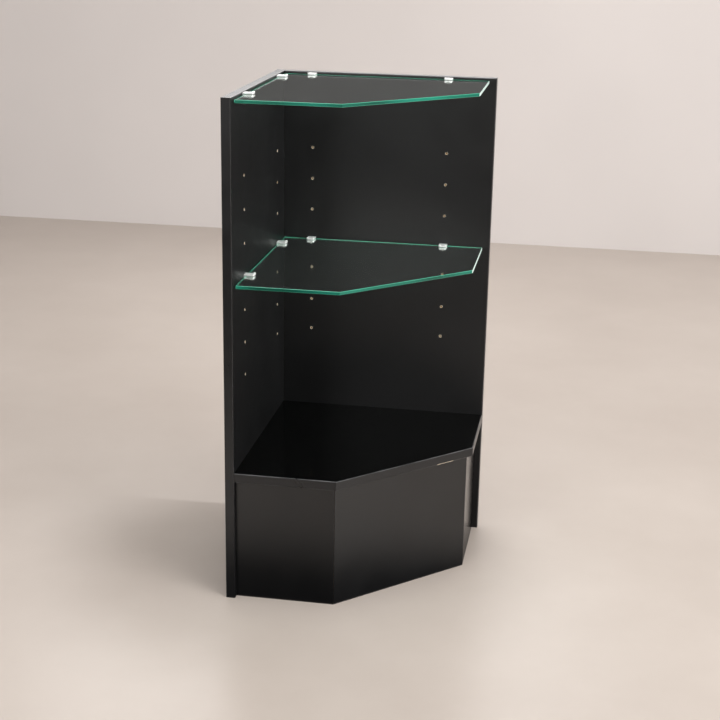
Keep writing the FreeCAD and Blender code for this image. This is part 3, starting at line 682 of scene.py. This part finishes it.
class FittingSizes(bpy.types.PropertyGroup):
    """Sizes of the clips, caps and screws."""

    cast_voxel: length("Cast fineness", "Finest detail that the casting holds", 0.4 * MM)
    cast_smooth: IntProperty(name="Cast softness", description="Rounds of smoothing", default=4)
    cast_share: share("Cast faces kept", "Share of faces kept", 0.12)
    seat_room: length("Tip seat room", "How much deeper a tip's seat is sunk", 0.3 * MM)
    screw_round: length("Screw arris", "Radius on a clamp screw's edges", 0.3 * MM)
    cap_dome: length("Cap dome", "Rise of a screw cap's middle", 0.35 * MM)
    thread_pitch: length("Thread pitch", "Pitch of a wood screw's thread", 1.8 * MM)
    thread_depth: length("Thread depth", "Depth of a wood screw's thread", 0.55 * MM)
    recess_arm: length("Recess arm", "Length of an arm of the cross recess", 2.1 * MM)
    recess_width: length("Recess width", "Half the width of a recess arm", 0.45 * MM)
    recess_depth: length("Recess depth", "Depth of the cross recess", 1.5 * MM)


class StageSizes(bpy.types.PropertyGroup):
    """Sizes, colours and powers of the floor, the wall, the cloths and the lights."""

    floor_reach: length("Floor", "Half the width of the floor", 14)
    wall_back: length("Wall", "Distance of the wall behind the case", 2.95)
    wall_height: length("Wall height", "Height of the wall", 4)
    floor_dark: tone("Floor, dark", "Darker tone of the floor", "#b5a99f")
    floor_light: tone("Floor, light", "Lighter tone of the floor", "#d2c8bf")
    wall_dark: tone("Wall, dark", "Darker tone of the wall", "#d6d0cd")
    wall_light: tone("Wall, light", "Lighter tone of the wall", "#e6e0dd")
    room: tone("Room light", "Colour of the room all round", "#d6d0cc")
    room_strength: number("Room strength", "Strength of the room light", 0.5)
    top_power: power("Ceiling light", "Power of the ceiling softbox", 80)
    side_power: power("Window light", "Power of the softbox on the right", 255)
    fill_power: power("Fill light", "Power of the softbox, left of the camera", 26)
    rear_power: power("Rear light", "Power of the softbox behind the case", 26)
    # The black cloth's dark patch round the foot of the case is painted shade, seen only in reflections
    foot_shade_full: length("Black cloth, full", "Where the black cloth starts to fade", 0.27)
    foot_shade_end: length("Black cloth, end", "Where the black cloth has faded out", 0.58)
    gobo_low: length("Grey cloth, foot", "Lower edge of the cloth behind", 1.2)
    gobo_high: length("Grey cloth, head", "Upper edge of the cloth behind", 1.47)
    gobo_dark: tone("Grey cloth, dark", "Its darker tone", "#505050")
    gobo_light: tone("Grey cloth, light", "Its lighter tone", "#626262")
    flag_near: length("Front cloth, start", "Where black starts again toward the camera", 1.1)
    flag_full: length("Front cloth, full", "Where it is whole", 1.7)
    flag_strength: share("Front cloth strength", "How much it covers", 0.9)


# Operators


class DISPLAYCASE_OT_boards(bpy.types.Operator):
    """Faces the panels, the deck and the base boards, and sands the mitres of the base"""

    bl_idname = "display_case.boards"
    bl_label = "Boards"

    def execute(self, context):
        sizes = context.scene.case_boards
        chips = (sizes.chip_dark, sizes.chip_light)
        inked = (sizes.ink, sizes.ink)
        slant = (DIAGONAL, -DIAGONAL, 0)
        # Across which way each board is thick, its tones, roughness, IOR and what its core shows
        boards = {
            "left_panel": ((1, 0, 0), "face", sizes.face_roughness, sizes.resin, chips),
            "back_panel": ((0, 1, 0), "back", sizes.face_roughness, sizes.wiped_resin, chips),
            # The deck gets darker tones than the other boards: painted shade on the same facing
            "deck": ((0, 0, 1), "deck", sizes.deck_roughness, sizes.dull_resin, chips),
            "kick_front_left": ((0, 1, 0), "kick", sizes.kick_roughness, sizes.resin, inked),
            "kick_right": ((1, 0, 0), "kick", sizes.return_roughness, sizes.resin, inked),
            "kick_diagonal": (slant, "kick", sizes.kick_roughness, sizes.resin, chips),
        }
        for name, (normal, tones, roughness, ior, core) in boards.items():
            front = max(Vector(normal).dot(vertex.co) for vertex in NODES[name].data.vertices)
            middle = front - BOARD / 2
            skin = sizes.mitre_skin if name == "kick_diagonal" else sizes.paper
            look = (getattr(sizes, f"{tones}_dark"), getattr(sizes, f"{tones}_light"), roughness, ior,
                    *core)
            finish = faced_board(f"black_melamine_{name}", normal, middle, skin, look, sizes)
            if name.startswith("kick"):
                self.mitred(name, Vector(normal), middle, finish, sizes)
            else:
                paint(name, finish)
        return {"FINISHED"}

    def mitred(self, name, normal, middle, finish, sizes):
        """A base board whose sharp mitred arrises are sanded, so that a fine groove shows there."""
        shape = merged_copy(name)
        outside = middle + BOARD / 2 if normal.x > 0 else middle - BOARD / 2
        mitres = [edge for edge in shape.edges
                  if abs(edge.verts[0].co.z - edge.verts[1].co.z) > BOARD
                  and all(abs(normal.dot(vertex.co) - outside) < TOUCH for vertex in edge.verts)]
        ease(shape, mitres, sizes.mitre_round, segments=2)
        finish_piece(f"{name}_sanded", mesh_of(shape, name), finish, "root", "black_melamine_board",
                     name)


class DISPLAYCASE_OT_bands(bpy.types.Operator):
    """Makes the edge bands, with their outer edges scraped round"""

    bl_idname = "display_case.bands"
    bl_label = "Edge bands"

    def execute(self, context):
        sizes = context.scene.case_boards
        finish = abs_edge_band(sizes)
        for name in [name for name in NODES if "band" in name]:
            out = Vector(BANDS_OUTWARD[name])
            shape = merged_copy(name)
            face = max(out.dot(vertex.co) for vertex in shape.verts)
            longest = max(edge.calc_length() for edge in shape.edges)
            outer = [edge for edge in shape.edges
                     if edge.calc_length() > longest / 2
                     and all(out.dot(vertex.co) > face - TOUCH for vertex in edge.verts)]
            if len(outer) != 2:
                raise RuntimeError(f"{name} has {len(outer)} long outer edges")
            ease(shape, outer, sizes.band_round, segments=4)
            finish_piece(f"{name}_eased", mesh_of(shape, name), finish, "root", "black_edge_band",
                         name)
        return {"FINISHED"}


class DISPLAYCASE_OT_rims(bpy.types.Operator):
    """Makes the bruised ring that drilling leaves round each empty shelf pin hole"""

    bl_idname = "display_case.rims"
    bl_label = "Drilled rims"

    def execute(self, context):
        sizes = context.scene.case_boards
        dice = random.Random(5)
        places = []
        for mount in frame["record"]["mounts"]:
            if mount["kind"] != "bolt_pattern":
                continue
            dims = mount["dims"]
            radius = dims["hole_r_mm"] * MM
            facing = Vector(mount["axis"])
            across = facing.cross(Vector((0, 0, 1))) * dims["spacing_x_mm"] * MM / 2
            up = Vector((0, 0, dims["spacing_y_mm"] * MM / 2))
            for side in (-1, 1):
                for level in (-1, 1):
                    spin = Matrix.Rotation(dice.uniform(0, math.tau), 3, "Z")
                    turn = facing.to_track_quat("Z", "Y").to_matrix() @ spin
                    places.append((Vector(mount["pos_m"]) + across * side + up * level,
                                   turn.to_euler()))
        ring = self.ring(radius, sizes, dice)
        mesh = repeated("drilled_rims", ring, places, plain("drilled_melamine_rim"))
        finish_piece("drilled_rims", mesh, mesh.materials[0], "root", "black_melamine_board")
        return {"FINISHED"}

    def ring(self, radius, sizes, dice):
        """A low uneven collar round a hole that faces up, its lip turned a little into the bore."""
        shape = bmesh.new()
        count = 20
        rows = []
        for share_out, height in ((0.0, -sizes.rim_deep), (0.25, sizes.rim_high), (1.0, 0.0)):
            row = []
            for index in range(count):
                angle = math.tau * index / count
                ragged = 1 + share_out * dice.uniform(-0.5, 0.5)
                out = radius + sizes.rim_out * share_out * ragged
                row.append(shape.verts.new((out * math.cos(angle), out * math.sin(angle), height)))
            rows.append(row)
        join_rings(shape, rows)
        return mesh_of(shape, "drilled_rim")


class DISPLAYCASE_OT_glass(bpy.types.Operator):
    """Finishes the two panes, their faces and their edges"""

    bl_idname = "display_case.glass"
    bl_label = "Glass"

    def execute(self, context):
        face = float_glass(context.scene.case_glass)
        edge = glass_edge(context.scene.case_glass)
        for name in ("glass_top", "glass_shelf"):
            paint(name, face)
            pane = NODES[name].data
            pane.materials.append(edge)
            for polygon in pane.polygons:
                if abs(polygon.normal.z) < PANE_UPRIGHT:
                    polygon.material_index = 1
        return {"FINISHED"}


class DISPLAYCASE_OT_clips(bpy.types.Operator):
    """Makes the eight die-cast clamp clips with soft edges, and their clamp screws, tips and pads"""

    bl_idname = "display_case.clips"
    bl_label = "Clamp clips"

    def execute(self, context):
        sizes = context.scene.case_fittings
        nickel = plain("satin_nickel_on_zinc_casting")
        steel = plain("nickel_plated_steel_screw")
        vinyl = plain("clear_soft_vinyl")

        casting = self.casting("shelf_clip_left_near", sizes)
        mesh = repeated("clamp_clips", casting, [self.home(name) for name in CLIP_NODES], nickel)
        finish_piece("clamp_clips", mesh, nickel, "root", "clip_chrome", *CLIP_NODES)

        for name in SCREW_NODES:
            shape = merged_copy(name)
            sharp = [edge for edge in shape.edges
                     if len(edge.link_faces) == 2 and edge.calc_face_angle() > math.radians(40)]
            ease(shape, sharp, sizes.screw_round, segments=2)
            finish_piece(f"{name}_turned", mesh_of(shape, name), steel, name, "screw_chrome", name)
        for name in TIP_NODES + ["clip_pads"]:
            paint(name, vinyl)
        return {"FINISHED"}

    def home(self, name):
        """Where a clip's upper side meets its panel, and its turn."""
        low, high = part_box(name)
        if "_left_" in name:
            return Vector((INNER_X, (low.y + high.y) / 2, high.z)), (0, 0, 0)
        return Vector(((low.x + high.x) / 2, INNER_Y, high.z)), (0, 0, -math.pi / 2)

    def casting(self, pattern, sizes):
        """One clip's mesh about its own place, with the soft edges of a zinc casting.

        The seat that the slack screw's soft tip drops into is sunk a little, so that they stay apart.
        """
        shape = merged_copy(pattern)
        low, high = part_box(pattern.replace("clip", "tip"))
        travel = next(-joint["range_m"][0] for joint in frame["joints"]
                      if joint["child"] == pattern.replace("clip", "screw"))
        for vertex in shape.verts:
            off = Vector((vertex.co.x - (low.x + high.x) / 2, vertex.co.y - (low.y + high.y) / 2))
            if off.length < high.x - low.x and abs(vertex.co.z - (low.z - travel)) < RELIEF:
                vertex.co.z -= sizes.seat_room
        bmesh.ops.translate(shape, verts=shape.verts, vec=-self.home(pattern)[0])
        rough = add_object("casting", mesh_of(shape, "casting"))
        remesh = rough.modifiers.new("Cast", "REMESH")
        remesh.mode = "VOXEL"
        remesh.voxel_size = sizes.cast_voxel
        rough.modifiers.new("Soften", "SMOOTH").iterations = sizes.cast_smooth
        rough.modifiers.new("Fewer", "DECIMATE").ratio = sizes.cast_share
        cast = as_seen(rough)
        for polygon in cast.polygons:
            polygon.use_smooth = True
        return cast


class DISPLAYCASE_OT_fixings(bpy.types.Operator):
    """Makes the screw caps and the wood screws, and finishes battens, blocks, brackets and dowels"""

    bl_idname = "display_case.fixings"
    bl_label = "Fixings"

    def execute(self, context):
        sizes = context.scene.case_fittings
        steel = zinc_plated_steel()
        for name in ("kick_bracket_left", "kick_bracket_right", "panel_joint_screws",
                     "deck_joint_screws"):
            paint(name, steel)
        along = {"cleat_left": 1, "cleat_back": 0, "corner_block_front": 2, "corner_block_right": 2}
        for name, axis in along.items():
            paint(name, planed_wood(f"planed_pine_{name}", axis, 4.0, "#d8b888", "#a8793f"))
        paint("kick_dowels", planed_wood("fluted_beech_dowel", 2, 1.5, "#d9bd95", "#b08a5c"))
        self.caps(plain("moulded_black_cap", relief=0.2), sizes)
        self.screws("bracket_screws", PAN_HEAD, steel, sizes)
        self.screws("cleat_panel_screws", FLAT_HEAD, steel, sizes)
        self.screws("cleat_deck_screws", FLAT_HEAD, steel, sizes)
        return {"FINISHED"}

    def caps(self, finish, sizes):
        """Push-in caps over the connecting screws, domed, with a rounded rim just below the board."""
        places = []
        for points in islands("joint_screw_caps"):
            low, high = corners(points)
            place = (low + high) / 2
            radius = (high.z - low.z) / 2
            if high.x - low.x < radius:
                deep, place.x, turn = high.x - low.x, low.x, (0, -math.pi / 2, 0)
            else:
                deep, place.y, turn = high.y - low.y, high.y, (-math.pi / 2, 0, 0)
            places.append((place, turn))
        dome = sizes.cap_dome
        rows = [(0.3 * MM, 0)]
        rows += [(radius * part, -dome * part ** 2) for part in CAP_SHARES]
        rows += [(radius * 0.95, -dome), (radius * 0.985, -dome - 0.12 * MM),
                 (radius, -dome - 0.3 * MM), (radius, -deep)]
        cap = turned("cover_cap", rows, around=48)
        shade(cap, 50)
        mesh = repeated("screw_cover_caps", cap, places, finish)
        finish_piece("screw_cover_caps", mesh, finish, "root", "black_cap_plastic", "joint_screw_caps")

    def screws(self, node, profile, finish, sizes):
        """Cross-recessed wood screws in the places of a node's plain ones, with heads of a profile."""
        places = []
        for points in islands(node):
            low, high = corners(points)
            size = high - low
            axis = list(size).index(max(size))
            middle = (low + high) / 2
            radial = {}
            for point in points:
                off = point - middle
                off[axis] = 0
                level = round(point[axis], 5)
                radial[level] = max(radial.get(level, 0), off.length)
            levels = sorted(radial)
            if radial[levels[0]] > radial[levels[-1]]:
                levels.reverse()
            head, core = radial[levels[-1]], radial[levels[0]]
            length_all, deep = abs(levels[-1] - levels[0]), abs(levels[-1] - levels[-2])
            facing = Vector([0, 0, 0])
            facing[axis] = 1 if levels[-1] > levels[0] else -1
            place = middle.copy()
            place[axis] = levels[-1]
            places.append((place, facing.to_track_quat("Z", "Y").to_euler()))
        neck, point = deep + sizes.thread_pitch, sizes.thread_pitch * 2
        threaded = length_all - neck - point
        steps = int(threaded / (sizes.thread_pitch / 6))
        rows = [(head * out, -deep * down) for out, down in profile]
        rows += [(core * 0.85, -deep * 1.02), (core * 0.85, -neck)]
        rows += [(core, -neck - threaded * step / steps) for step in range(1, steps + 1)]
        rows += [(core * 0.55, -length_all + point * 0.4), (core * 0.08, -length_all)]
        thread = (sizes.thread_pitch, sizes.thread_depth, -neck, -length_all + point * 0.8)
        mesh = turned(f"{node}_screw", rows, around=18, thread=thread)
        sunk = min(sizes.recess_depth, deep * 0.85)
        mesh = cut_cross(mesh, sizes.recess_arm, sizes.recess_width, sunk)
        mesh = repeated(f"{node}_threaded", mesh, places, finish)
        finish_piece(f"{node}_threaded", mesh, finish, "root", "zinc_steel", node)


class DISPLAYCASE_OT_stage(bpy.types.Operator):
    """Sets the floor, the wall, the cloths, the soft lights and the camera"""

    bl_idname = "display_case.stage"
    bl_label = "Stage"

    def execute(self, context):
        sizes = context.scene.case_stage
        reach, back = sizes.floor_reach, sizes.wall_back
        floor = self.sheet("floor", (-reach, -reach, 0), (reach, back, 0),
                           plain("sealed_pale_concrete", sizes.floor_dark, sizes.floor_light))
        wall = self.sheet("wall", (-reach, back, 0), (reach, back, sizes.wall_height),
                          plain("matt_wall_paint", sizes.wall_dark, sizes.wall_light))
        # The black card's dark patch round the case's foot is painted shade, seen only in reflections
        card = self.sheet("black_card", (CARD_LEFT, CARD_FRONT, CARD_LIFT),
                          (CARD_RIGHT, LEFT_HIGH.y, CARD_LIFT), foot_shade_cloth(sizes))
        flag = self.sheet("grey_flag", (FLAG_LEFT, FLAG_BACK, sizes.gobo_low),
                          (FLAG_RIGHT, FLAG_BACK, sizes.gobo_high),
                          plain("grey_flock_flag", sizes.gobo_dark, sizes.gobo_light))
        for cloth in (card, flag):
            cloth.visible_camera = False
            cloth.visible_diffuse = False
            cloth.visible_shadow = False
        card.visible_transmission = False

        world = bpy.data.worlds.new("room")
        world.use_nodes = True
        feed(world.node_tree.nodes["Background"], {"Color": sizes.room,
                                                   "Strength": sizes.room_strength})
        context.scene.world = world
        for name, (place, aim, size, power_name) in SOFTBOXES.items():
            self.softbox(name, place, aim, size, getattr(sizes, power_name))

        camera = bpy.data.cameras.new("photo_camera")
        camera.lens = CAMERA_LENS
        camera.sensor_width = CAMERA_SENSOR
        camera.clip_end = CAMERA_SIGHT
        eye = add_object("photo_camera", camera)
        eye.matrix_world = (
            Matrix.Translation(CAMERA_PLACE)
            @ Matrix.Rotation(math.radians(CAMERA_YAW), 4, "Z")
            @ Matrix.Rotation(math.radians(90 - CAMERA_PITCH), 4, "X")
            @ Matrix.Rotation(math.radians(CAMERA_ROLL), 4, "Z")
        )
        context.scene.camera = eye
        context.scene.view_settings.view_transform = "Standard"
        return {"FINISHED"}

    def sheet(self, name, low, high, material):
        """One flat upright or level face of the stage, between two opposite corners."""
        mesh = bpy.data.meshes.new(name)
        mesh.from_pydata([low, (high[0], *low[1:]), high, (low[0], *high[1:])], [], [(0, 1, 2, 3)])
        mesh.materials.append(material)
        return add_object(name, mesh)

    def softbox(self, name, place, aim, size, watts):
        """A rectangular soft light that looks at a point."""
        light = bpy.data.lights.new(name, "AREA")
        light.shape = "RECTANGLE"
        light.size, light.size_y = size
        light.energy = watts
        lamp = add_object(name, light)
        lamp.location = place
        lamp.rotation_euler = (Vector(place) - Vector(aim)).to_track_quat("Z", "Y").to_euler()
        lamp.visible_camera = False


class DISPLAYCASE_PT_panel(bpy.types.Panel):
    """Lists the sizes and the steps of the display case"""

    bl_idname = "DISPLAYCASE_PT_panel"
    bl_label = "Corner display case"
    bl_space_type = "VIEW_3D"
    bl_region_type = "UI"
    bl_category = "Display case"

    def draw(self, context):
        layout = self.layout
        for name, group in GROUPS.items():
            box = layout.box()
            box.label(text=name.removeprefix("case_").capitalize())
            for key in group.__annotations__:
                box.prop(getattr(context.scene, name), key)
        for operator in OPERATORS:
            layout.operator(operator.bl_idname)


GROUPS = {
    "case_boards": BoardSizes,
    "case_glass": GlassSizes,
    "case_fittings": FittingSizes,
    "case_stage": StageSizes,
}
OPERATORS = (
    DISPLAYCASE_OT_stage,
    DISPLAYCASE_OT_boards,
    DISPLAYCASE_OT_bands,
    DISPLAYCASE_OT_rims,
    DISPLAYCASE_OT_glass,
    DISPLAYCASE_OT_clips,
    DISPLAYCASE_OT_fixings,
)


def register():
    """Adds the property groups, the operators and the panel."""
    for name, group in GROUPS.items():
        bpy.utils.register_class(group)
        setattr(bpy.types.Scene, name, PointerProperty(type=group))
    for item in (*OPERATORS, DISPLAYCASE_PT_panel):
        bpy.utils.register_class(item)


def unregister():
    """Takes them away again."""
    for item in reversed((*OPERATORS, DISPLAYCASE_PT_panel)):
        bpy.utils.unregister_class(item)
    for name, group in GROUPS.items():
        delattr(bpy.types.Scene, name)
        bpy.utils.unregister_class(group)


def main():
    """Dresses the case step by step."""
    import json

    register()
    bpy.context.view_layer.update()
    for step in ("stage", "boards", "bands", "rims", "glass", "clips", "fixings"):
        getattr(bpy.ops.display_case, step)()


if __name__ == "__main__":
    main()
